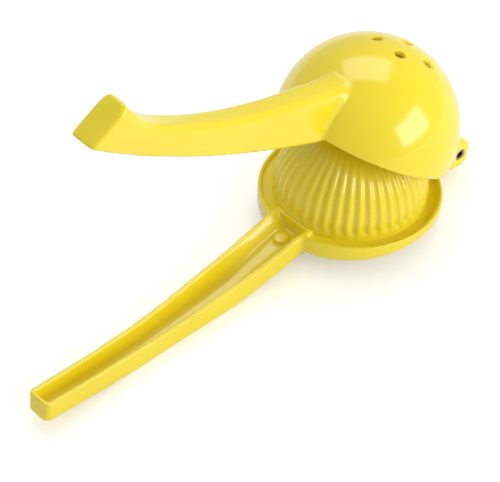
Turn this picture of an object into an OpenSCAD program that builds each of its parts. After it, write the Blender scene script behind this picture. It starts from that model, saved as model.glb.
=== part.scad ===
// Hinged lemon squeezer. A fluted press half and a perforated cup half are each cast in one
// with a handle, and swing on one rolled steel pin. It lies with its cup side up.
// X runs along the handles from their ends towards the hinge, and Z is up. The origin is on
// the surface that the tool lies on, straight under the hinge pin.

/* [Pose] */
// Angle from closed at which the cup half stands, in degrees
open_angle = 30.4; // [0:0.1:80]
// Slope of the press ring's lip when the tool lies on a flat surface, in degrees
lip_tilt = 6; // [5:0.5:7]

/* [Press bowl] */
// Outside radius of the ring
ring_r = 38; // [37.6:0.1:39]
// Height of the ring at the hinge
ring_h = 4.2; // [3.8:0.1:5]
// Width of the lip round the gutter
lip_w = 1.4; // [1:0.1:1.8]
// Depth of the gutter below the lip
gutter_depth = 2; // [1:0.1:2.4]
// Thickness of the skirt under the ring
skirt_wall = 2.4; // [2:0.1:3]
// Height of the skirt's lower edge above the surface
skirt_clear = 8.8; // [7.5:0.1:9.5]
// Outside radius of the fluted dome
dome_r = 32; // [30:0.1:32.4]
// Height of the dome's centre above the lip
dome_lift = 0.9; // [0.5:0.1:2]
// Wall of the dome
dome_wall = 3.2; // [2.6:0.1:4]

/* [Flutes] */
// Number of flutes round the dome
flute_count = 42; // [24:2:48]
// Radius of the cutter that leaves the flutes
flute_cutter_r = 1.7; // [1.2:0.1:1.8]
// Depth of each flute at the foot of the dome
flute_depth = 0.8; // [0.4:0.1:1]
// Angle from the dome's top at which the flutes run out, in degrees
flute_end = 18; // [16:1:30]

/* [Cup] */
// How far the cup's outside lies inside the ring's, on the radius
cup_inset = 0.1; // [0:0.1:0.4]
// Wall of the cup
cup_wall = 3; // [2.6:0.1:3.2]
// Depth of the cup below its widest line
cup_skirt = 3.6; // [2:0.1:5]
// Gap between the cup's edge and the lip when closed
lip_gap = 1.5; // [1:0.1:3]
// Distance of the cup's centre from the dome's, away from the hinge
cup_set_back = 1.8; // [1:0.1:2]

/* [Juice holes] */
// Diameter of each juice hole
hole_d = 4.6; // [3:0.1:6]
// Number of holes in the ring round the middle one
hole_count = 6; // [4:1:8]
// Angle between the middle hole and the others, seen from the cup's centre, in degrees
hole_angle = 20.3; // [17:0.1:28]

/* [Hinge] */
// Distance from the hinge axis to the centre of the press bowl
hinge_reach = 46.9; // [46:0.1:49]
// Height of the hinge axis above the lip
axis_rise = 2.7; // [1.5:0.1:3.5]
// Height of the hinge axis above the surface
axis_h = 10.2; // [9.5:0.1:11]
// Diameter of the hinge pin
pin_d = 5; // [4:0.1:5.4]
// Wall of the rolled pin
pin_wall = 0.9; // [0.6:0.1:1.2]
// Width of the slot along the rolled pin
pin_slot = 0.8; // [0.4:0.1:1.5]
// Distance of each end of the pin inside its ear's face
pin_recess = 0.4; // [0:0.1:1]
// Width over the outsides of the ears
hinge_w = 35; // [32:0.5:38]
// Thickness of each ear
ear_t = 6.8; // [5:0.1:8]
// Radius of the ears behind the pin
ear_r = 5.7; // [5.4:0.1:6]
// Height of the ears above the pin's axis
ear_top = 6; // [5.5:0.1:7]
// Depth of the ears below the pin's axis
ear_under = 7.6; // [6.6:0.1:8]
// Radius of the knuckle round the pin
knuckle_r = 5.2; // [4.9:0.1:6]
// Length of the flat heel under the knuckle
heel_l = 9; // [6:0.5:10]
// Play between the pin and the knuckle, on the radius
pin_play = 0.05; // [0.02:0.01:0.1]
// Gap between each ear and the knuckle
side_play = 0.3; // [0.2:0.05:0.6]

/* [Press handle] */
// Length of the press handle beyond the ring
press_len = 128; // [110:1:140]
// Length of the slope behind the ring
neck_run = 39; // [34:1:44]
// Length of the end that curls up
tail_run = 50; // [40:1:56]
// Distance by which the top starts to rise before the underside does
tail_lead = 12; // [6:1:20]
// Width of the press handle at the ring
press_root_w = 20; // [19.2:0.2:21.2]
// Width of the press handle where its slope ends
press_neck_w = 16.6; // [15:0.2:17.6]
// Width of the press handle at its end
press_end_w = 11.4; // [10:0.2:12.6]
// Height of the press handle where its slope ends
press_neck_h = 11.2; // [10.6:0.1:11.8]
// Height of the press handle where it lies on the surface
press_mid_h = 9.8; // [8.5:0.1:11]
// Height of the top of its end above the surface
press_end_top = 13.9; // [12.5:0.1:15]
// Height of the underside of its end above the surface
press_end_under = 4.6; // [3.5:0.1:6]
// Lean of the end face of the press handle, in degrees
press_end_lean = 13; // [8:1:16]
// Height of the underside of its root above the surface
press_root_under = 6; // [5:0.1:6.8]
// Slope of the top as it leaves the ring
press_slope = 0.3; // [0.25:0.01:0.4]
// Wall of the channel in the press handle
press_wall = 1.7; // [1.4:0.1:2.2]
// Floor of the channel
press_floor = 2.6; // [2.4:0.1:3.4]
// Height of the floor of the pocket at the ring above the surface
pocket_floor_h = 9.4; // [9:0.1:10.5]
// Diameter of the round boss in the pocket
boss_d = 6.2; // [4:0.1:8]
// Height of the boss
boss_h = 1.3; // [0.6:0.1:2]
// Distance of the boss's centre from the bowl end of the pocket
boss_set = 6.2; // [5:0.1:9]

/* [Cup handle] */
// Distance from the hinge axis to the lower corner of the cup handle's end
cup_handle_reach = 214.2; // [200:0.1:225]
// Width of the cup handle at the cup
cup_root_w = 15; // [14:0.2:16]
// Width of the cup handle along its grip
cup_grip_w = 12.6; // [11:0.2:13.6]
// Height of the grip, from its underside to its top
cup_grip_h = 12.6; // [11:0.1:13.4]
// Depth of the grip's underside below the hinge axis when closed
cup_grip_drop = 14.1; // [13.2:0.1:14.6]
// Height of the cup handle's top above the hinge axis at its root
cup_root_top = 22; // [19:0.5:24]
// Slope of the cup handle's top at its root
cup_root_slope = 0.42; // [0.36:0.01:0.46]
// Length of the hook
hook_run = 26; // [22:1:32]
// Height of the hook above the grip
hook_rise = 7.5; // [4:0.1:9]
// Slope of the top of the hook at its end
hook_slope = 0.62; // [0.4:0.02:0.8]
// Lean of the hook's end face, in degrees
hook_lean = 27; // [18:1:32]
// Wall of the channel in the cup handle
cup_handle_wall = 2.2; // [1.8:0.1:2.8]
// Thickness over the channel in the cup handle
cup_handle_crown = 3; // [2.4:0.1:4]

/* [Hidden] */
$fn = 96;
past = 1;      // how far a cutter runs past the face that it cuts
reach = 300;   // longer than anything on the tool
depth = 75;    // higher or deeper than anything that is cut
dome_margin = 1;     // distance of the pocket from the dome
neck_slope = 0.05;   // slope of the press handle's top where its slope ends
tail_slope = 0.09;   // slope of the press handle's top at its end
root_slope = 0.05;   // slope of the press handle's underside at its root
end_slope = 0.12;    // slope of the press handle's underside at its end
tail_flare = 0.8;    // how much wider, to a side, the press handle is where its end begins
heel_cut = 1;        // how far the corner of the heel is cut back
cup_root_out = 0.6;  // distance of the cup handle's root beyond the ring
cup_end_lift = 1.3;  // rise of the cup handle's underside from its grip to its end
cup_end_slope = 0.06;  // slope of that underside at its end
cup_taper_run = 36;  // length over which the cup handle narrows from its root to its grip
channel_past = 10;   // how far the cup handle's channel runs on under the hook
hump_drop = 2.2;     // how far the cup handle's root reaches below the cup's edge
hump_slope = 0.24;   // slope of the cup handle's underside at its root
under_run = 98;      // length over which that underside falls to the grip's
ear_rise = 5.4;      // how much higher an ear is where it leaves the cup than over the pin
ear_shoulder = 2.6;  // distance behind the pin at which an ear's top turns down
ear_web = [[-9.2, -3.6], [-6.2, -6.6]];  // web under an ear, from the cup's edge to its sole
ear_sole = 2.4;      // distance before the pin at which an ear is deepest
ear_heel = [0.3, -0.5];  // centre of the round heel of an ear
flute_foot = 1.5;    // degrees above the dome's widest line at which a flute begins
flute_fade = 4;      // degrees short of its run-out at which a flute's cutter stops
flute_proud = 0.3;   // how far that cutter stands out of the dome at its foot
enamel = "#ecd83a";
steel = "#8f8f92";

// Heights in the closed frame, whose origin is the hinge axis and whose Z stands off the lip
lip_z = -axis_rise;
gutter_z = lip_z - gutter_depth;
ring_under_z = lip_z - ring_h;
dome_z = lip_z + dome_lift;
cup_edge_z = lip_z + lip_gap;
cup_z = cup_edge_z + cup_skirt;
cup_x = -hinge_reach - cup_set_back;
cup_r = ring_r - cup_inset;
knuckle_w = hinge_w - 2 * (ear_t + side_play);

// Where a point of the closed frame lies when the tool rests on the surface
function lying(x, z) = [x * cos(lip_tilt) + z * sin(lip_tilt),
                        axis_h - x * sin(lip_tilt) + z * cos(lip_tilt)];

// A line that leaves a with one slope and reaches b with another, as points
function glide(a, slope_a, b, slope_b, n = 10) = [
    for (i = [0:n])
        let (t = i / n, u = 1 - t, run = b.x - a.x)
            [a.x + run * t,
             u * u * (1 + 2 * t) * a.y + t * u * u * run * slope_a
             + t * t * (3 - 2 * t) * b.y - t * t * u * run * slope_b]
];
function raised(line, h) = [for (p = line) [p.x, p.y + h]];
function turned_back(line) = [for (i = [len(line) - 1:-1:0]) line[i]];

// Puts what is drawn in the closed frame where it lies when the hinge is open by an angle
module hinged(angle = 0) {
    translate([0, 0, axis_h]) rotate([0, lip_tilt + angle, 0]) children();
}

// Everything above a level
module above(z) {
    translate([-reach, -reach / 2, z]) cube([2 * reach, reach, reach]);
}

// A slab between two long lines in X and Z, centred on Y
module slab(top, under, w) {
    rotate([90, 0, 0]) translate([0, 0, -w / 2])
        linear_extrude(w) polygon(concat(top, turned_back(under)));
}

// An upright block between the lines y = half and y = -half
module plan(half) {
    mirrored = [for (p = turned_back(half)) [p.x, -p.y]];
    translate([0, 0, -reach / 2]) linear_extrude(reach) polygon(concat(half, mirrored));
}

// ---- Press half ----

root = lying(-hinge_reach - ring_r, lip_z);
near = lying(-hinge_reach - dome_r + dome_wall / 2, lip_z);
pocket = lying(-hinge_reach - dome_r - dome_margin, lip_z);
tip_x = root.x - press_len;
toe_x = tip_x - (press_end_top - press_end_under) * tan(press_end_lean);
neck_x = root.x - neck_run;
tail_x = tip_x + tail_run;
rise_x = tail_x + tail_lead;

press_top = concat(
    [near],
    glide(root, press_slope, [neck_x, press_neck_h], neck_slope),
    glide([neck_x, press_neck_h], neck_slope, [rise_x, press_mid_h], 0),
    glide([rise_x, press_mid_h], 0, [tip_x, press_end_top], -tail_slope)
);
press_under = concat(
    glide([near.x, press_root_under], root_slope, [neck_x, 0], 0),
    glide([tail_x, 0], 0, [toe_x, press_end_under], -end_slope)
);
channel_floor = concat(
    glide([pocket.x, pocket_floor_h], 0, [neck_x, press_floor], 0),
    glide([tail_x, press_floor], 0, [tip_x + press_wall, press_end_under + press_floor],
          -end_slope)
);
channel_top = [[pocket.x, depth], [tip_x + press_wall, depth]];

function press_half_w(near_x, far_x, wall) = [
    [near_x, press_root_w / 2 - wall],
    [root.x, press_root_w / 2 - wall],
    [neck_x, press_neck_w / 2 - wall],
    [tail_x, press_end_w / 2 + tail_flare - wall],
    [far_x, press_end_w / 2 - wall]
];

module press_handle() {
    intersection() {
        slab(press_top, press_under, 2 * press_root_w);
        plan(press_half_w(near.x, toe_x, 0));
    }
}

module press_channel() {
    intersection() {
        slab(channel_top, channel_floor, 2 * press_root_w);
        plan(press_half_w(pocket.x, tip_x + press_wall, press_wall));
    }
}

module ring() {
    hinged() translate([-hinge_reach, 0, ring_under_z]) cylinder(r = ring_r, h = ring_h);
    // the skirt hangs down to a level line, so it is deepest at the handle
    difference() {
        hinged() translate([-hinge_reach, 0, lip_z - depth]) cylinder(r = ring_r, h = depth);
        hinged() translate([-hinge_reach, 0, lip_z - reach / 2])
            cylinder(r = ring_r - skirt_wall, h = reach);
        translate([0, 0, skirt_clear]) mirror([0, 0, 1]) above(0);
    }
}

module gutter() {
    hinged() translate([-hinge_reach, 0, gutter_z])
        cylinder(r = ring_r - lip_w, h = gutter_depth + past);
}

// One flute: a round cutter, flat on its outer side, swung up the dome until it almost runs out
module flute() {
    stand_off = flute_depth / (1 - sin(flute_end));
    swing_r = dome_r + flute_cutter_r - flute_depth + stand_off;
    swing = 90 - flute_end - flute_fade - flute_foot;
    translate([-stand_off, 0, 0]) rotate([90, 0, 0]) rotate([0, 0, flute_foot])
        rotate_extrude(angle = swing) translate([swing_r, 0]) intersection() {
            circle(flute_cutter_r);
            translate([-2 * flute_cutter_r, -flute_cutter_r])
                square([flute_cutter_r + flute_depth + flute_proud, 2 * flute_cutter_r]);
        }
}

module dome() {
    difference() {
        union() {
            intersection() {
                sphere(dome_r);
                above(0);
            }
            translate([0, 0, gutter_z - dome_z - past])
                cylinder(r = dome_r, h = dome_z - gutter_z + past);
        }
        for (i = [0:flute_count - 1])
            rotate([0, 0, (i + 0.5) * 360 / flute_count]) flute();
    }
}

module dome_hollow() {
    sphere(dome_r - dome_wall);
    mirror([0, 0, 1]) cylinder(r = dome_r - dome_wall, h = depth);
}

// The knuckle round the pin, and the heel under it that the tool lies on
module knuckle() {
    inside = lying(-hinge_reach + ring_r - skirt_wall, lip_z);
    inside_under = lying(-hinge_reach + ring_r - skirt_wall, ring_under_z);
    outside = lying(0, lip_z);
    translate([0, 0, axis_h]) rotate([90, 0, 0])
        cylinder(r = knuckle_r, h = knuckle_w, center = true);
    slab([inside, outside, [knuckle_r, axis_h]],
         [inside_under, [knuckle_r - heel_l, 0], [knuckle_r - heel_cut, 0], [knuckle_r, heel_cut]],
         knuckle_w);
}

module press_half() {
    color(enamel) difference() {
        union() {
            difference() {
                ring();
                gutter();
            }
            hinged() translate([-hinge_reach, 0, dome_z]) dome();
            press_handle();
            knuckle();
        }
        hinged() translate([-hinge_reach, 0, dome_z]) dome_hollow();
        difference() {
            press_channel();
            boss();
        }
        translate([0, 0, axis_h]) rotate([90, 0, 0])
            cylinder(d = pin_d + 2 * pin_play, h = knuckle_w + 2 * past, center = true);
    }
}

module boss() {
    translate([pocket.x - boss_set, 0, 0]) cylinder(d = boss_d, h = pocket_floor_h + boss_h);
}

// ---- Cup half ----

cup_end_x = -cup_handle_reach;
cup_root_x = -hinge_reach - ring_r - cup_root_out;
grip_top = cup_grip_h - cup_grip_drop;
hook_h = cup_grip_h + hook_rise - cup_end_lift;
hook_top_x = cup_end_x + hook_h * tan(hook_lean);
hook_x = hook_top_x + hook_run;
cup_top = concat(
    glide([cup_x - cup_r + 2 * cup_wall, cup_root_top], cup_root_slope, [hook_x, grip_top], 0),
    glide([hook_x, grip_top], 0, [hook_top_x, grip_top + hook_rise], -hook_slope)
);
cup_under = concat(
    [[cup_x - cup_r + 2 * cup_wall, cup_edge_z]],
    glide([cup_root_x, cup_edge_z - hump_drop], hump_slope,
          [cup_root_x - under_run, -cup_grip_drop], 0),
    glide([cup_root_x - under_run, -cup_grip_drop], 0,
          [cup_end_x, cup_end_lift - cup_grip_drop], -cup_end_slope)
);
channel_x = cup_root_x - cup_handle_wall;
channel_end_x = hook_x - channel_past;
cup_channel_top = raised(glide([channel_x, cup_root_top], cup_root_slope,
                               [hook_x, grip_top], 0), -cup_handle_crown);

function cup_half_w(near_x, far_x, wall) = [
    [near_x, cup_root_w / 2 - wall],
    [cup_root_x, cup_root_w / 2 - wall],
    [cup_root_x - cup_taper_run, cup_grip_w / 2 - wall],
    [far_x, cup_grip_w / 2 - wall]
];

module cup_handle() {
    intersection() {
        slab(cup_top, cup_under, 2 * cup_root_w);
        plan(cup_half_w(cup_x - cup_r + 2 * cup_wall, cup_end_x, 0));
    }
}

module cup_channel() {
    intersection() {
        slab(concat(cup_channel_top, [[channel_end_x, grip_top - cup_handle_crown]]),
             [[channel_x, -depth], [channel_end_x, -depth]], 2 * cup_root_w);
        plan(cup_half_w(channel_x, channel_end_x, cup_handle_wall));
    }
}

module ears() {
    inside = cup_x + sqrt(pow(cup_r - cup_wall, 2) - pow(hinge_w / 2, 2));
    heel = [for (t = [84:-12:12]) ear_heel + ear_r * [cos(t), -sin(t)]];
    for (side = [1, -1]) translate([0, side * (hinge_w - ear_t) / 2, 0])
        slab([[inside, ear_top + ear_rise], [ear_shoulder, ear_top]],
             concat([[inside, cup_edge_z], [cup_x + cup_r, cup_edge_z]], ear_web,
                    [[-ear_sole, -ear_under]], heel), ear_t);
}

module cup_half() {
    color(enamel) hinged(open_angle) difference() {
        union() {
            intersection() {
                translate([cup_x, 0, cup_z]) sphere(cup_r);
                above(cup_edge_z);
            }
            ears();
            cup_handle();
        }
        translate([cup_x, 0, cup_z]) {
            sphere(cup_r - cup_wall);
            juice_hole();
            for (i = [0:hole_count - 1])
                rotate([0, 0, (i + 0.5) * 360 / hole_count]) rotate([0, hole_angle, 0])
                    juice_hole();
        }
        cup_channel();
        rotate([90, 0, 0]) cylinder(d = pin_d, h = hinge_w + 2 * past, center = true);
    }
}

module juice_hole() {
    translate([0, 0, cup_r - cup_wall - past])
        cylinder(d = hole_d, h = cup_wall + 2 * past);
}

// ---- Hinge pin ----

module hinge_pin() {
    pin_l = hinge_w - 2 * pin_recess;
    color(steel) hinged(open_angle) rotate([90, 0, 0]) difference() {
        cylinder(d = pin_d, h = pin_l, center = true);
        cylinder(d = pin_d - 2 * pin_wall, h = pin_l + 2 * past, center = true);
        translate([-pin_d, -pin_slot / 2, -pin_l / 2 - past])
            cube([pin_d, pin_slot, pin_l + 2 * past]);
    }
}

press_half();
cup_half();
hinge_pin();
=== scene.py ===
import bpy
import bmesh
from math import sin, cos, tan, pi, radians, sqrt
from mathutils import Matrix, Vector


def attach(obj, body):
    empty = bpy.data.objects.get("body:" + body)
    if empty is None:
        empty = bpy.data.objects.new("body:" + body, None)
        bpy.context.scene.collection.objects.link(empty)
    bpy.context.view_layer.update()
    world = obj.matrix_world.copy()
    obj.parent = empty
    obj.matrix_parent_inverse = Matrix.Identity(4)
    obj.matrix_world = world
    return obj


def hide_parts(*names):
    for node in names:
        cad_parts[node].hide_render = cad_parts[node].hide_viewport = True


mm = 0.001
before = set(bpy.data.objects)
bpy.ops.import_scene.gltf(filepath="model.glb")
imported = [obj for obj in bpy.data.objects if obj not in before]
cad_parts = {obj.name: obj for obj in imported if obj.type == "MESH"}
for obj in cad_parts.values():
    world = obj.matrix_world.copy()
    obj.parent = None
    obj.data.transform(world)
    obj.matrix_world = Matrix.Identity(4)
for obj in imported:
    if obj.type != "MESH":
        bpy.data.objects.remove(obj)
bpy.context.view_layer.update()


def deselectAll():
    for thing in bpy.context.selected_objects:
        thing.select_set(False)


def pick(thing):
    deselectAll()
    thing.select_set(True)
    bpy.context.view_layer.objects.active = thing


camera = {
    "place": (-553.2, -519.0, 737.4),   # mm
    "turn": (43.762, 1.655, -42.685),   # degrees
    "lens": 179.58, "sensor": 36,       # mm
    "clip": (0.01, 20),                 # m
}


def makeCamera():
    data = bpy.data.cameras.new("camera")
    data.lens = camera["lens"]
    data.sensor_width = camera["sensor"]
    data.clip_start, data.clip_end = camera["clip"]
    eye = bpy.data.objects.new("camera", data)
    eye.location = Vector(camera["place"]) * mm
    eye.rotation_euler = [radians(a) for a in camera["turn"]]
    bpy.context.scene.collection.objects.link(eye)
    bpy.context.scene.camera = eye


makeCamera()
print("camera set")


def fromHex(code):
    # sRGB to linear
    parts = [int(code[i:i + 2], 16) / 255 for i in (0, 2, 4)]
    return tuple(c / 12.92 if c <= 0.04045 else ((c + 0.055) / 1.055) ** 2.4 for c in parts) + (1,)


def addNode(tree, kind, links=(), **settings):
    node = tree.nodes.new(kind)
    for key, value in settings.items():
        if key.startswith("in_"):
            name = key[3:]
            node.inputs[int(name) if name.isdigit() else name.replace("_", " ")].default_value = value
        else:
            setattr(node, key, value)
    for socket, source in links:
        tree.links.new(source, node.inputs[socket])
    return node


def newMaterial(name):
    made = bpy.data.materials.new(name)
    made.use_nodes = True
    made.node_tree.nodes.clear()
    return made, made.node_tree


studio = {
    "floorSize": 8, "floorHex": "F8F8F6", "floorRoughness": 0.9, "floorLift": 0.3,
    "worldHex": "FFFFFF", "worldStrength": 0.55,
    # name, place m, size m, watts
    "lamps": (("over", (0.25, 0.3, 0.9), (0.8, 0.6), 3.4),
              ("front", (0.24, -0.84, 0.36), (0.7, 0.45), 4.4)),
    "aim": (-0.08, 0, 0.04),
}


def makeWorld():
    world = bpy.data.worlds.new("studio")
    world.use_nodes = True
    tree = world.node_tree
    tree.nodes.clear()
    # the view sees white behind the object, while the object is lit by a dimmer room
    path = addNode(tree, "ShaderNodeLightPath")
    room = addNode(tree, "ShaderNodeBackground", in_Color=fromHex(studio["worldHex"]),
                   in_Strength=studio["worldStrength"])
    white = addNode(tree, "ShaderNodeBackground", in_Color=(1, 1, 1, 1), in_Strength=1.0)
    mixed = addNode(tree, "ShaderNodeMixShader", [(0, path.outputs["Is Camera Ray"]),
                                                  (1, room.outputs[0]), (2, white.outputs[0])])
    addNode(tree, "ShaderNodeOutputWorld", [("Surface", mixed.outputs[0])])
    bpy.context.scene.world = world
    bpy.context.scene.view_settings.view_transform = "Standard"


def makeLamps():
    for name, place, size, watts in studio["lamps"]:
        data = bpy.data.lights.new(name, "AREA")
        data.shape = "RECTANGLE"
        data.size, data.size_y = size
        data.energy = watts
        lamp = bpy.data.objects.new(name, data)
        lamp.location = place
        aim = Vector(studio["aim"]) - Vector(place)
        lamp.rotation_euler = aim.to_track_quat("-Z", "Y").to_euler()
        bpy.context.scene.collection.objects.link(lamp)


def makeFloor():
    deselectAll()
    bpy.ops.mesh.primitive_plane_add(size=studio["floorSize"])
    floor = bpy.context.active_object
    floor.name = "floor"
    made, tree = newMaterial("paleFloor")
    paint = addNode(tree, "ShaderNodeBsdfPrincipled", in_Base_Color=fromHex(studio["floorHex"]),
                    in_Roughness=studio["floorRoughness"])
    # a lift towards white that only the view sees, so the shadow stays
    view = addNode(tree, "ShaderNodeLightPath")
    lift = addNode(tree, "ShaderNodeMath", [(0, view.outputs["Is Camera Ray"])], operation="MULTIPLY",
                   in_1=studio["floorLift"])
    glow = addNode(tree, "ShaderNodeEmission", [("Strength", lift.outputs[0])])
    both = addNode(tree, "ShaderNodeAddShader", [(0, paint.outputs[0]), (1, glow.outputs[0])])
    addNode(tree, "ShaderNodeOutputMaterial", [("Surface", both.outputs[0])])
    floor.data.materials.append(made)


makeWorld()
makeLamps()
makeFloor()
print("studio set")

# stoved enamel on cast aluminium: a smooth glossy lemon skin with a faint orange peel
enamel = {"hex": "F8E42C", "deepHex": "F2D816", "roughness": 0.2, "peelMm": 2.2, "peelDepthMm": 0.012,
          "coat": 0.5, "coatRoughness": 0.07, "toneMm": 35}


def stovedEnamel():
    made, tree = newMaterial("stovedEnamel")
    place = addNode(tree, "ShaderNodeTexCoord").outputs["Object"]
    tone = addNode(tree, "ShaderNodeTexNoise", [("Vector", place)], in_Scale=1 / (enamel["toneMm"] * mm),
                   in_Detail=2.0, in_Roughness=0.5)
    colour = addNode(tree, "ShaderNodeMix", [("Factor", tone.outputs["Fac"])], data_type="RGBA")
    colour.inputs[6].default_value = fromHex(enamel["deepHex"])
    colour.inputs[7].default_value = fromHex(enamel["hex"])
    peel = addNode(tree, "ShaderNodeTexNoise", [("Vector", place)], in_Scale=1 / (enamel["peelMm"] * mm),
                   in_Detail=1.0)
    bump = addNode(tree, "ShaderNodeBump", [("Height", peel.outputs["Fac"])],
                   in_Distance=enamel["peelDepthMm"] * mm, in_Strength=1.0)
    skin = addNode(tree, "ShaderNodeBsdfPrincipled",
                   [("Base Color", colour.outputs[2]), ("Normal", bump.outputs[0])],
                   in_Roughness=enamel["roughness"], in_Coat_Weight=enamel["coat"],
                   in_Coat_Roughness=enamel["coatRoughness"])
    addNode(tree, "ShaderNodeOutputMaterial", [("Surface", skin.outputs[0])])
    return made


# rolled spring steel: grey metal with lines drawn along the pin, about 0.3 mm apart so that they show
pinSteel = {"hex": "B4B4B6", "darkHex": "77777A", "roughness": 0.3, "lineMm": 0.3, "lineDepthMm": 0.01,
            "lineStretch": 0.04, "lineStrength": 0.6}


def rolledSpringSteel():
    made, tree = newMaterial("rolledSpringSteel")
    place = addNode(tree, "ShaderNodeTexCoord").outputs["Object"]
    along = addNode(tree, "ShaderNodeMapping", [("Vector", place)])
    along.inputs["Scale"].default_value = (1, pinSteel["lineStretch"], 1)
    lines = addNode(tree, "ShaderNodeTexNoise", [("Vector", along.outputs[0])],
                    in_Scale=1 / (pinSteel["lineMm"] * mm), in_Detail=2.0)
    colour = addNode(tree, "ShaderNodeMix", [("Factor", lines.outputs["Fac"])], data_type="RGBA")
    colour.inputs[6].default_value = fromHex(pinSteel["darkHex"])
    colour.inputs[7].default_value = fromHex(pinSteel["hex"])
    bump = addNode(tree, "ShaderNodeBump", [("Height", lines.outputs["Fac"])],
                   in_Distance=pinSteel["lineDepthMm"] * mm, in_Strength=pinSteel["lineStrength"])
    metal = addNode(tree, "ShaderNodeBsdfPrincipled",
                    [("Base Color", colour.outputs[2]), ("Normal", bump.outputs[0])],
                    in_Roughness=pinSteel["roughness"], in_Metallic=1.0)
    addNode(tree, "ShaderNodeOutputMaterial", [("Surface", metal.outputs[0])])
    return made


enamelSkin = stovedEnamel()
pinMetal = rolledSpringSteel()
print("materials made")

# lengths are in mm; the closed frame has its origin on the hinge axis, and its Z stands off the lip
hinge = {"height": 10.2, "lipTilt": 6, "open": 30.4, "reach": 46.9, "lipZ": -2.7, "pinR": 2.5,
         "width": 35, "earT": 6.8, "play": 0.3, "boreGap": 0.05, "knuckleR": 5.2, "heelL": 9}

# how far a tool or a blank goes past the cut, and how far two faces are kept out of one plane
beyond = {"deep": 40, "wide": 20, "past": 1, "apart": 0.05}
roundSteps = {"large": 160, "small": 64, "drill": 40, "edge": 4}
# how squarely a face looks up or down, sideways, or towards -X, to count as one that does
squarely = {"flat": 0.6, "side": 0.8, "end": 0.7}
# how far one pass of smoothing takes a point towards the middle of its neighbours
smoothBy = 0.5


def lying(x, z):
    # where a point of the closed frame is on the press half as it lies
    a = radians(hinge["lipTilt"])
    return (x * cos(a) + z * sin(a), hinge["height"] - x * sin(a) + z * cos(a))


def span(start, end, count):
    return [start + (end - start) * i / (count - 1) for i in range(count)]


def glide(start, slopeStart, end, slopeEnd, steps=10):
    # a line that leaves start with one slope and reaches end with another
    run = end[0] - start[0]
    line = []
    for i in range(steps + 1):
        t = i / steps
        u = 1 - t
        z = (u * u * (1 + 2 * t) * start[1] + t * u * u * run * slopeStart
             + t * t * (3 - 2 * t) * end[1] - t * t * u * run * slopeEnd)
        line.append((start[0] + run * t, z))
    return line


def at(line, x):
    # the height of a line at x
    points = sorted(line)
    if x <= points[0][0]:
        return points[0][1]
    for (xa, za), (xb, zb) in zip(points, points[1:]):
        if x <= xb:
            return za + (zb - za) * (x - xa) / (xb - xa or 1)
    return points[-1][1]


def layBar(name, stations):
    # a bar of four-sided sections, each (x, top, under, halfWidth), extruded one after another
    deselectAll()
    x, top, under, half = stations[0]
    bpy.ops.mesh.primitive_plane_add(size=1)
    bar = bpy.context.active_object
    bar.name = name
    bpy.ops.object.mode_set(mode="EDIT")
    bpy.ops.transform.rotate(value=pi / 2, orient_axis="Y", center_override=(0, 0, 0))
    bpy.ops.transform.resize(value=(1, 2 * half * mm, (top - under) * mm), center_override=(0, 0, 0))
    bpy.ops.transform.translate(value=(x * mm, 0, (top + under) / 2 * mm))
    for before, after in zip(stations, stations[1:]):
        rise = (after[1] + after[2] - before[1] - before[2]) / 2
        bpy.ops.mesh.extrude_region_move(
            TRANSFORM_OT_translate={"value": ((after[0] - before[0]) * mm, 0, rise * mm)})
        bpy.ops.transform.resize(
            value=(1, after[3] / before[3], (after[1] - after[2]) / (before[1] - before[2])),
            center_override=(after[0] * mm, 0, (after[1] + after[2]) / 2 * mm))
    bpy.ops.mesh.select_all(action="SELECT")
    bpy.ops.mesh.normals_make_consistent(inside=False)
    bpy.ops.object.mode_set(mode="OBJECT")
    return bar


def roundLong(bar, radius, up, steps=roundSteps["edge"]):
    # rounds the long edges on the top or the underside of a bar, told by the faces beside them
    pick(bar)
    bpy.ops.object.mode_set(mode="EDIT")
    shape = bmesh.from_edit_mesh(bar.data)
    bpy.ops.mesh.select_all(action="DESELECT")
    bpy.ops.mesh.select_mode(type="EDGE")
    for edge in shape.edges:
        if len(edge.link_faces) != 2:
            continue
        normals = [f.normal for f in edge.link_faces]
        flat = any(n.z * up > squarely["flat"] for n in normals)
        side = any(abs(n.y) > squarely["side"] for n in normals)
        edge.select_set(flat and side)
    bmesh.update_edit_mesh(bar.data)
    bpy.ops.mesh.bevel(offset=radius * mm, segments=steps, affect="EDGES")
    bpy.ops.mesh.select_mode(type="VERT")
    bpy.ops.object.mode_set(mode="OBJECT")


def drawIn(bar, foot, share):
    # narrows the underside of a bar that lies along the line foot, so that its sides lean
    pick(bar)
    bpy.ops.object.mode_set(mode="EDIT")
    bpy.ops.mesh.select_all(action="DESELECT")
    shape = bmesh.from_edit_mesh(bar.data)
    for point in shape.verts:
        if point.co.z / mm < at(foot, point.co.x / mm) + 0.5:   # no other corner comes so near to foot
            point.select_set(True)
    bmesh.update_edit_mesh(bar.data)
    bpy.ops.transform.resize(value=(1, share, 1), center_override=(0, 0, 0))
    bpy.ops.object.mode_set(mode="OBJECT")


def cutEnd(bar, x, z, lean):
    # ends a bar in a leaning face through its lower corner
    pick(bar)
    bpy.ops.object.mode_set(mode="EDIT")
    bpy.ops.mesh.select_all(action="SELECT")
    bpy.ops.mesh.bisect(plane_co=(x * mm, 0, z * mm), plane_no=(-cos(radians(lean)), 0, sin(radians(lean))),
                        use_fill=True, clear_outer=True)
    bpy.ops.object.mode_set(mode="OBJECT")


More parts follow.
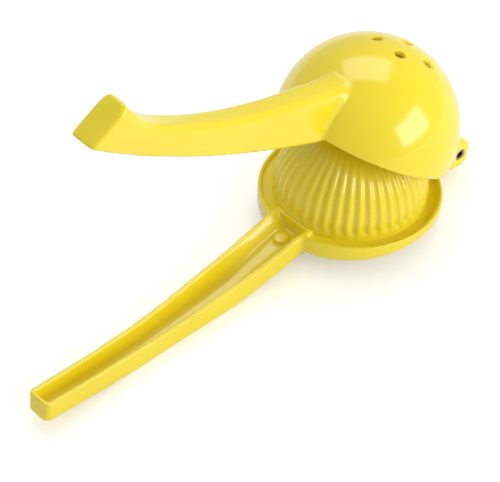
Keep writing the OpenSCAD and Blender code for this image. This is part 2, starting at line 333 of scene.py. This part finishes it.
def roundEnd(bar, radius, chosen):
    # rounds those edges of a bar's end face whose middle is at a chosen height
    pick(bar)
    bpy.ops.object.mode_set(mode="EDIT")
    shape = bmesh.from_edit_mesh(bar.data)
    bpy.ops.mesh.select_all(action="DESELECT")
    bpy.ops.mesh.select_mode(type="EDGE")
    ends = [f for f in shape.faces if f.normal.x < -squarely["end"]]
    outermost = min(ends, key=lambda f: f.calc_center_median().x)
    for edge in outermost.edges:
        edge.select_set(chosen((edge.verts[0].co.z + edge.verts[1].co.z) / 2 / mm))
    bmesh.update_edit_mesh(bar.data)
    bpy.ops.mesh.bevel(offset=radius * mm, segments=roundSteps["edge"], affect="EDGES", clamp_overlap=True)
    bpy.ops.mesh.select_mode(type="VERT")
    bpy.ops.object.mode_set(mode="OBJECT")


def layDown(piece, opened=0):
    # takes a piece from the closed frame to where it lies
    pick(piece)
    piece.rotation_euler = (0, radians(hinge["lipTilt"] + opened), 0)
    piece.location = (0, 0, hinge["height"] * mm)
    bpy.ops.object.transform_apply(location=True, rotation=True, scale=True)


def addDrum(name, radius, depth, place, steps=roundSteps["large"], across=False):
    # a drum that stands, or lies across the tool
    deselectAll()
    turn = (pi / 2, 0, 0) if across else (0, 0, 0)
    bpy.ops.mesh.primitive_cylinder_add(vertices=steps, radius=radius * mm, depth=depth * mm,
                                        location=Vector(place) * mm, rotation=turn)
    drum = bpy.context.active_object
    drum.name = name
    bpy.ops.object.transform_apply(location=True, rotation=True, scale=True)
    return drum


def addBall(name, radius, place):
    deselectAll()
    steps = roundSteps["large"]
    bpy.ops.mesh.primitive_uv_sphere_add(segments=steps, ring_count=steps // 2, radius=radius * mm,
                                         location=place * mm)
    ball = bpy.context.active_object
    ball.name = name
    bpy.ops.object.transform_apply(location=True, rotation=True, scale=True)
    return ball


def trim(piece, height, keepAbove=True):
    pick(piece)
    bpy.ops.object.mode_set(mode="EDIT")
    bpy.ops.mesh.select_all(action="SELECT")
    bpy.ops.mesh.bisect(plane_co=(0, 0, height * mm), plane_no=(0, 0, 1), use_fill=True,
                        clear_inner=keepAbove, clear_outer=not keepAbove)
    bpy.ops.object.mode_set(mode="OBJECT")


def combine(piece, tool, operation):
    pick(piece)
    step = piece.modifiers.new("combine", "BOOLEAN")
    step.operation = operation
    step.solver = "EXACT"
    step.object = tool
    bpy.ops.object.modifier_apply(modifier=step.name)
    bpy.data.objects.remove(tool)


def join(piece, *tools):
    for tool in tools:
        combine(piece, tool, "UNION")


def cut(piece, *tools):
    for tool in tools:
        combine(piece, tool, "DIFFERENCE")


def castSkin(piece, grain, passes):
    # one even skin over the casting, with every edge and corner softened as in a mould
    pick(piece)
    skin = piece.modifiers.new("skin", "REMESH")
    skin.mode = "VOXEL"
    skin.voxel_size = grain * mm
    bpy.ops.object.modifier_apply(modifier=skin.name)
    soft = piece.modifiers.new("soft", "SMOOTH")
    soft.factor = smoothBy
    soft.iterations = passes
    bpy.ops.object.modifier_apply(modifier=soft.name)


def soften(piece, inside, passes):
    # fills out a corner where two forms of the casting meet, or rounds an edge
    pick(piece)
    bpy.ops.object.mode_set(mode="EDIT")
    bpy.ops.mesh.select_all(action="DESELECT")
    shape = bmesh.from_edit_mesh(piece.data)
    for point in shape.verts:
        if inside(point.co / mm):
            point.select_set(True)
    bmesh.update_edit_mesh(piece.data)
    bpy.ops.mesh.vertices_smooth(factor=smoothBy, repeat=passes)
    bpy.ops.object.mode_set(mode="OBJECT")


def finishPiece(piece, material, body, slot, *nodes):
    pick(piece)
    bpy.ops.object.shade_smooth()
    piece.data.materials.clear()
    piece.data.materials.append(material)
    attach(piece, body)
    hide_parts(*nodes)
    print(piece.name, "faces:", len(piece.data.polygons))


press = {"ringR": 38, "ringH": 4.2, "lipW": 1.4, "gutter": 2.0, "blankH": 20,
         # the skirt hangs 0.6 mm lower than in the solid, for what the skin takes off its thin edge
         "skirtWall": 2.4, "skirtClear": 8.2,
         "domeR": 32, "domeLift": 0.9, "domeWall": 3.2, "domeSeat": 1.2, "wellDeep": 60,
         "len": 128, "neckRun": 39, "tailRun": 50, "tailLead": 12,
         "rootHalf": 10, "neckHalf": 8.3, "tailHalf": 6.5, "endHalf": 5.7,
         "neckH": 11.2, "midH": 9.8, "endTop": 13.9, "endUnder": 4.6, "endLean": 13, "rootUnder": 6.0,
         # rise of the top and underside, and narrowing of the sides, per mm along the handle
         "slope": 0.3, "neckSlope": 0.05, "tailSlope": 0.09, "endSlope": 0.12, "underSlope": 0.05,
         "neckFlare": 0.045, "tailFlare": 0.03, "endFlare": 0.01,
         "wall": 1.7, "floor": 2.6, "floorShare": 0.45, "rimClear": 0.4,
         "pocketFloor": 9.4, "pocketSet": 1, "bossR": 3.1, "bossH": 1.3, "bossL": 12, "bossSet": 6.2,
         "underRound": 1.8, "endRound": 2.0, "sharpTop": 0.5, "channelRound": 1.7, "channelSteps": 6,
         "tongueRise": 0.6, "heelStep": 1,
         "stations": 42, "channelStations": 40, "grain": 0.44, "passes": 7,
         # where the sides of the handle meet the ring, and the lower edges of its end
         "rootSoft": {"reach": 7, "inner": 9, "outer": 16, "top": 20, "passes": 18},
         "endSoft": {"reach": 3, "under": 2.5, "passes": 40}}


def pressLines():
    # the long lines of the press handle: heights and half widths, each against x
    lipZ, wall = hinge["lipZ"], press["wall"]
    root = lying(-hinge["reach"] - press["ringR"], lipZ)
    near = lying(-hinge["reach"] - press["domeR"] + press["domeWall"] / 2, lipZ)
    pocket = lying(-hinge["reach"] - press["domeR"] - press["pocketSet"], lipZ)[0]
    tip = root[0] - press["len"]
    toe = tip - (press["endTop"] - press["endUnder"]) * tan(radians(press["endLean"]))
    neck = root[0] - press["neckRun"]
    tail = tip + press["tailRun"]
    rise = tail + press["tailLead"]
    top = [near] + glide(root, press["slope"], (neck, press["neckH"]), press["neckSlope"])
    top += glide((neck, press["neckH"]), press["neckSlope"], (rise, press["midH"]), 0)
    top += glide((rise, press["midH"]), 0, (tip, press["endTop"]), -press["tailSlope"])
    under = glide((near[0], press["rootUnder"]), press["underSlope"], (neck, 0), 0)
    under += glide((tail, 0), 0, (toe, press["endUnder"]), -press["endSlope"])
    inner = glide((pocket, press["pocketFloor"]), 0, (neck, press["floor"]), 0)
    inner += glide((tail, press["floor"]), 0, (tip + wall, press["endUnder"] + press["floor"]),
                   -press["endSlope"])
    neckFlare, tailFlare = press["neckFlare"], press["tailFlare"]
    half = [(near[0], press["rootHalf"])]
    half += glide((root[0], press["rootHalf"]), neckFlare, (neck, press["neckHalf"]), neckFlare)
    half += glide((neck, press["neckHalf"]), neckFlare, (tail, press["tailHalf"]), tailFlare)
    half += glide((tail, press["tailHalf"]), tailFlare, (toe, press["endHalf"]), press["endFlare"])
    return near[0], pocket, tip, toe, top, under, inner, half


def makeRing():
    # one deep drum, hollowed from below and cut off under the ring and along the level of its skirt
    centreX, lipZ = -hinge["reach"], hinge["lipZ"]
    underZ = lipZ - press["ringH"]
    deep, blankH = beyond["deep"], press["blankH"]
    ring = addDrum("pressCasting", press["ringR"], blankH, (centreX, 0, lipZ - blankH / 2))
    hollow = addDrum("hollow", press["ringR"] - press["skirtWall"], deep,
                     (centreX, 0, underZ - deep / 2 - beyond["apart"]))
    waste = addDrum("waste", press["ringR"] + beyond["wide"], deep, (centreX, 0, underZ - deep / 2))
    gutter = addDrum("gutter", press["ringR"] - press["lipW"], press["gutter"] * 2, (centreX, 0, lipZ))
    for part in (ring, hollow, waste, gutter):
        layDown(part)
    trim(waste, press["skirtClear"], False)
    cut(ring, hollow, waste, gutter)
    return ring


def makePressHandle(near, tip, toe, top, under, half):
    past = beyond["past"]
    # the last station is left out, because it would lie in the cut of the end face
    stations = [(x, at(top, x), at(under, x), at(half, x)) for x in span(near, tip, press["stations"])[:-1]]
    stations += [(toe - past, press["endTop"] + (tip - toe + past) * press["tailSlope"], press["endUnder"],
                  press["endHalf"])]
    handle = layBar("handle", stations)
    roundLong(handle, press["underRound"], -1)
    cutEnd(handle, toe, press["endUnder"], press["endLean"])
    roundEnd(handle, press["endRound"], lambda z: z < press["endTop"] - press["sharpTop"])
    return handle


def makeTongue(width):
    # from the inside of the ring to the flat heel under the knuckle
    innerX, lipZ = -hinge["reach"] + press["ringR"] - press["skirtWall"], hinge["lipZ"]
    inside = lying(innerX, lipZ)
    insideUnder = lying(innerX, lipZ - press["ringH"])
    heelX = hinge["knuckleR"] - hinge["heelL"]
    outside = lying(0, lipZ)
    return layBar("tongue", [(inside[0], inside[1], insideUnder[1], width / 2),
                             (heelX, outside[1] + press["tongueRise"], 0, width / 2),
                             (hinge["knuckleR"] - press["heelStep"], hinge["height"], 0, width / 2),
                             (hinge["knuckleR"], hinge["height"], press["heelStep"], width / 2)])


def makePressChannel(pocket, tip, top, inner, half):
    # the bar that is cut out, less the boss that stays standing in the pocket
    wall = press["wall"]
    channel = layBar("channel", [(x, at(top, x) + press["rimClear"], at(inner, x), at(half, x) - wall)
                                 for x in span(pocket, tip + wall, press["channelStations"])])
    drawIn(channel, inner, press["floorShare"])
    roundLong(channel, press["channelRound"], -1, press["channelSteps"])
    bossZ = press["pocketFloor"] + press["bossH"] - press["bossL"] / 2
    cut(channel, addDrum("boss", press["bossR"], press["bossL"], (pocket - press["bossSet"], 0, bossZ),
                         roundSteps["small"]))
    return channel


def makePressCasting():
    near, pocket, tip, toe, top, under, inner, half = pressLines()
    ring = makeRing()
    join(ring, makePressHandle(near, tip, toe, top, under, half))
    pinLine = (0, 0, hinge["height"])
    width = hinge["width"] - 2 * (hinge["earT"] + hinge["play"])
    knuckle = addDrum("knuckle", hinge["knuckleR"], width, pinLine, roundSteps["small"], True)
    join(ring, knuckle, makeTongue(width))
    well = addDrum("well", press["domeR"] - press["domeSeat"], press["wellDeep"],
                   (-hinge["reach"], 0, hinge["lipZ"]))
    layDown(well)
    cut(ring, well, makePressChannel(pocket, tip, top, inner, half))
    cut(ring, addDrum("bore", hinge["pinR"] + hinge["boreGap"], width + 2 * beyond["past"], pinLine,
                      roundSteps["small"], True))
    castSkin(ring, press["grain"], press["passes"])
    rootX = lying(-hinge["reach"] - press["ringR"], hinge["lipZ"])[0]
    root = press["rootSoft"]
    soften(ring, lambda p: abs(p.x - rootX) < root["reach"] and root["inner"] < abs(p.y) < root["outer"]
           and p.z < root["top"], root["passes"])
    end = press["endSoft"]
    soften(ring, lambda p: p.x < toe + end["reach"] and p.z < press["endTop"] - end["under"], end["passes"])
    finishPiece(ring, enamelSkin, "press", "enamel", "press_half")


flutes = {"count": 42, "columns": 8, "rings": 96, "depth": 1.25, "least": 0.003, "runOut": 18,
          "footLow": 0.2, "footHigh": 1.4, "profile": (1.0, 0.85, 0.45), "footDrop": 3.6, "smoothAngle": 50}


def fluteDepth(height):
    # how deep a flute is at a height above the dome's centre: none at its foot, none near the top
    radius = press["domeR"]
    across = sqrt(max(0, 1 - (height / radius) ** 2))
    fade = 1 - (1 - across) / (1 - sin(radians(flutes["runOut"])))
    foot = min(1, max(0, (height - flutes["footLow"]) / (flutes["footHigh"] - flutes["footLow"])))
    return flutes["depth"] * max(0, fade) * foot * foot * (3 - 2 * foot)


def fluteBands(shape, columns):
    # the dome's points in the flutes, by their height and their distance from the middle of a flute
    bands = {}
    for point in shape.verts:
        x, y, z = point.co / mm
        if x * x + y * y < 1:
            continue   # the top of the dome belongs to no flute
        turn = Vector((x, y)).angle_signed(Vector((1, 0)))
        column = round(turn / (2 * pi) * columns) % flutes["columns"]
        # a ridge stands over the handle, so the middle of each flute is half a pitch round
        off = abs(column - flutes["columns"] // 2)
        if off < len(flutes["profile"]):
            bands.setdefault((round(z, 2), off), []).append(point)
    return bands


def makeFlutedDome():
    deselectAll()
    columns = flutes["columns"] * flutes["count"]
    bpy.ops.mesh.primitive_uv_sphere_add(segments=columns, ring_count=flutes["rings"],
                                         radius=press["domeR"] * mm)
    dome = bpy.context.active_object
    dome.name = "flutedDome"
    bpy.ops.object.mode_set(mode="EDIT")
    bpy.ops.mesh.select_all(action="SELECT")
    # cut just under the equator, so that the points on it stay
    bpy.ops.mesh.bisect(plane_co=(0, 0, -0.01 * mm), plane_no=(0, 0, 1), clear_inner=True)
    bpy.ops.mesh.select_all(action="DESELECT")
    shape = bmesh.from_edit_mesh(dome.data)
    for (height, off), points in fluteBands(shape, columns).items():
        depth = fluteDepth(height) * flutes["profile"][off]
        if depth < flutes["least"]:
            continue
        for point in points:
            point.select_set(True)
        bpy.ops.transform.resize(value=(1 - depth / press["domeR"],) * 3, center_override=(0, 0, 0))
        for point in points:
            point.select_set(False)
    bpy.ops.mesh.select_all(action="DESELECT")
    shape = bmesh.from_edit_mesh(dome.data)
    for edge in shape.edges:
        edge.select_set(edge.is_boundary)
    bmesh.update_edit_mesh(dome.data)
    bpy.ops.mesh.select_mode(type="EDGE")
    bpy.ops.mesh.extrude_region_move(TRANSFORM_OT_translate={"value": (0, 0, -flutes["footDrop"] * mm)})
    bpy.ops.mesh.select_mode(type="VERT")
    bpy.ops.mesh.select_all(action="SELECT")
    bpy.ops.mesh.normals_make_consistent(inside=False)
    bpy.ops.object.mode_set(mode="OBJECT")
    wall = dome.modifiers.new("wall", "SOLIDIFY")
    wall.thickness = press["domeWall"] * mm
    wall.offset = -1
    bpy.ops.object.modifier_apply(modifier=wall.name)
    dome.location = Vector((-hinge["reach"], 0, hinge["lipZ"] + press["domeLift"])) * mm
    bpy.ops.object.transform_apply(location=True, rotation=True, scale=True)
    layDown(dome)
    finishPiece(dome, enamelSkin, "press", "enamel", "press_half")
    pick(dome)
    bpy.ops.object.shade_smooth_by_angle(angle=radians(flutes["smoothAngle"]))


# edgeZ and reach go 0.3 and 0.4 mm past the solid's, for what the skin takes off those edges, and
# humpDrop is 0.3 mm less than the solid's, so that the underside of the handle stays where it is
cup = {"r": 37.9, "wall": 3.0, "edgeZ": -1.5, "z": 2.4, "x": -48.7,
       "holeR": 2.3, "holes": 6, "holeAngle": 20.3, "drillL": 12, "drillSet": 1,
       "reach": 214.6, "rootOut": 0.6, "rootHalf": 7.5, "gripHalf": 6.3, "gripRun": 36, "sideSlope": 0.05,
       "gripH": 12.6, "gripDrop": 14.1, "endLift": 1.3, "endSlope": 0.06,
       "underRun": 98, "humpDrop": 1.9, "humpSlope": 0.24, "rootTop": 22, "rootSlope": 0.42,
       "hookRun": 26, "hookRise": 7.5, "hookSlope": 0.62, "hookLean": 27,
       "hookRound": 2.2, "sharpUnder": 0.7,
       "handleWall": 2.2, "handleCrown": 3.0, "crownRound": 3.6, "underRound": 1.0,
       "channelDeep": 8, "channelEnd": 10, "channelRound": 1.2,
       "topSteps": 16, "stations": 34, "hookStations": 10, "channelStations": 30,
       "grain": 0.7, "passes": 5,
       # where the handle grows out of the cup, and the edges of the hook's end face
       "rootSoft": {"from": -96, "to": -72, "off": 0.2, "above": 2, "half": 13, "passes": 45},
       "hookSoft": {"reach": 2.5, "passes": 10},
       # x, top and underside of an ear, from the cup to its round heel
       "ear": ((-24, 12.9, -1.2), (-10.9, 9.5, -1.2), (-9.2, 9.1, -3.6), (-6.2, 8.3, -6.6),
               (-2.4, 7.3, -7.6), (0.9, 6.5, -6.3), (2.6, 6.0, -5.6), (3.4, 4.2, -5.2),
               (4.45, 1.8, -4.4), (5.2, 0.0, -3.5), (5.9, -1.6, -1.9))}


def cupLines():
    # the places along the cup handle, and the lines of its top and underside, each against x
    end = -cup["reach"]
    root = -hinge["reach"] - press["ringR"] - cup["rootOut"]
    gripTop = cup["gripH"] - cup["gripDrop"]
    hookH = cup["gripH"] + cup["hookRise"] - cup["endLift"]
    hookTop = end + hookH * tan(radians(cup["hookLean"]))
    hook = hookTop + cup["hookRun"]
    start = cup["x"] - cup["r"] + 2 * cup["wall"]
    top = glide((start, cup["rootTop"]), cup["rootSlope"], (hook, gripTop), 0, cup["topSteps"])
    top += glide((hook, gripTop), 0, (hookTop, gripTop + cup["hookRise"]), -cup["hookSlope"])
    under = [(start, cup["edgeZ"])]
    low = (root - cup["underRun"], -cup["gripDrop"])
    under += glide((root, cup["edgeZ"] - cup["humpDrop"]), cup["humpSlope"], low, 0)
    under += glide(low, 0, (end, cup["endLift"] - cup["gripDrop"]), -cup["endSlope"])
    return start, root, hook, hookTop, end, top, under


def cupHalfWidth(x, root):
    grip = (root - cup["gripRun"], cup["gripHalf"])
    return at(glide((root, cup["rootHalf"]), cup["sideSlope"], grip, 0), x)


def makeCupHandle(start, root, hook, hookTop, end, top, under):
    stations = [(x, at(top, x), at(under, x), cupHalfWidth(x, root))
                for x in span(start, hook, cup["stations"])]
    # hook is among these already, and hookTop would lie in the cut of the end face
    stations += [(x, at(top, x), at(under, x), cup["gripHalf"])
                 for x in span(hook, hookTop, cup["hookStations"])[1:-1]]
    lastTop = at(top, hookTop) + (hookTop - end) * cup["hookSlope"]
    stations += [(end - beyond["past"], lastTop, at(under, end), cup["gripHalf"])]
    handle = layBar("handle", stations)
    roundLong(handle, cup["crownRound"], 1)
    roundLong(handle, cup["underRound"], -1)
    cutEnd(handle, end, at(under, end), cup["hookLean"])
    roundEnd(handle, cup["hookRound"], lambda z: z > cup["sharpUnder"] - cup["gripDrop"] + cup["endLift"])
    return handle


def makeEar(side):
    ear = layBar("ear", [(*station, hinge["earT"] / 2) for station in cup["ear"]])
    ear.location.y = side * (hinge["width"] - hinge["earT"]) / 2 * mm
    bpy.ops.object.transform_apply(location=True, rotation=True, scale=True)
    return ear


def drillHoles(bowl, middle):
    # one hole at the top of the cup and the others round it
    for i in range(cup["holes"] + 1):
        drill = addDrum("drill", cup["holeR"], cup["drillL"], (0, 0, cup["r"] - cup["drillSet"]),
                        roundSteps["drill"])
        if i:
            drill.rotation_euler = (0, radians(cup["holeAngle"]), (i - 0.5) * 2 * pi / cup["holes"])
        drill.location = middle * mm
        bpy.ops.object.transform_apply(location=True, rotation=True, scale=True)
        cut(bowl, drill)


def makeCupChannel(root, hook, top, under):
    wall = cup["handleWall"]
    places = span(root - wall, hook - cup["channelEnd"], cup["channelStations"])
    channel = layBar("channel", [(x, at(top, x) - cup["handleCrown"], at(under, x) - cup["channelDeep"],
                                  cupHalfWidth(x, root) - wall) for x in places])
    roundLong(channel, cup["channelRound"], 1)
    return channel


def makeCupCasting():
    start, root, hook, hookTop, end, top, under = cupLines()
    middle = Vector((cup["x"], 0, cup["z"]))
    bowl = addBall("cupCasting", cup["r"], middle)
    trim(bowl, cup["edgeZ"])
    join(bowl, makeCupHandle(start, root, hook, hookTop, end, top, under))
    for side in (1, -1):
        join(bowl, makeEar(side))
    cut(bowl, addBall("inside", cup["r"] - cup["wall"], middle))
    drillHoles(bowl, middle)
    cut(bowl, makeCupChannel(root, hook, top, under))
    cut(bowl, addDrum("bore", hinge["pinR"], hinge["width"] + 2 * beyond["past"], (0, 0, 0),
                      roundSteps["small"], True))
    castSkin(bowl, cup["grain"], cup["passes"])
    neck = cup["rootSoft"]
    soften(bowl, lambda p: neck["from"] < p.x < neck["to"] and (p - middle).length > cup["r"] + neck["off"]
           and p.z > neck["above"] and abs(p.y) < neck["half"], neck["passes"])
    tip, lean = cup["hookSoft"], tan(radians(cup["hookLean"]))
    soften(bowl, lambda p: p.x < end + tip["reach"] + (p.z - at(under, end)) * lean, tip["passes"])
    layDown(bowl, hinge["open"])
    finishPiece(bowl, enamelSkin, "cup", "enamel", "cup_half")


pin = {"wall": 0.9, "slot": 0.8, "recess": 0.4, "edge": 0.25, "edgeSteps": 3, "edgeAngle": 50,
       "smoothAngle": 40}


def makeRolledPin():
    length = hinge["width"] - 2 * pin["recess"]
    cutLength = length + 2 * beyond["past"]
    steps = roundSteps["small"]
    tube = addDrum("rolledPin", hinge["pinR"], length, (0, 0, 0), steps, True)
    cut(tube, addDrum("middle", hinge["pinR"] - pin["wall"], cutLength, (0, 0, 0), steps, True))
    deselectAll()
    bpy.ops.mesh.primitive_cube_add(size=1, location=(0, 0, hinge["pinR"] * mm))
    slot = bpy.context.active_object
    slot.scale = (pin["slot"] * mm, cutLength * mm, hinge["pinR"] * 2 * mm)
    bpy.ops.object.transform_apply(location=True, rotation=True, scale=True)
    cut(tube, slot)
    pick(tube)
    edge = tube.modifiers.new("edge", "BEVEL")
    edge.width = pin["edge"] * mm
    edge.segments = pin["edgeSteps"]
    edge.angle_limit = radians(pin["edgeAngle"])
    bpy.ops.object.modifier_apply(modifier=edge.name)
    layDown(tube, hinge["open"])
    finishPiece(tube, pinMetal, "cup", "pin_steel", "hinge_pin")
    pick(tube)
    bpy.ops.object.shade_smooth_by_angle(angle=radians(pin["smoothAngle"]))


makePressCasting()
print("press casting made")
makeFlutedDome()
print("fluted dome made")
makeCupCasting()
print("cup casting made")
makeRolledPin()
print("pin made")
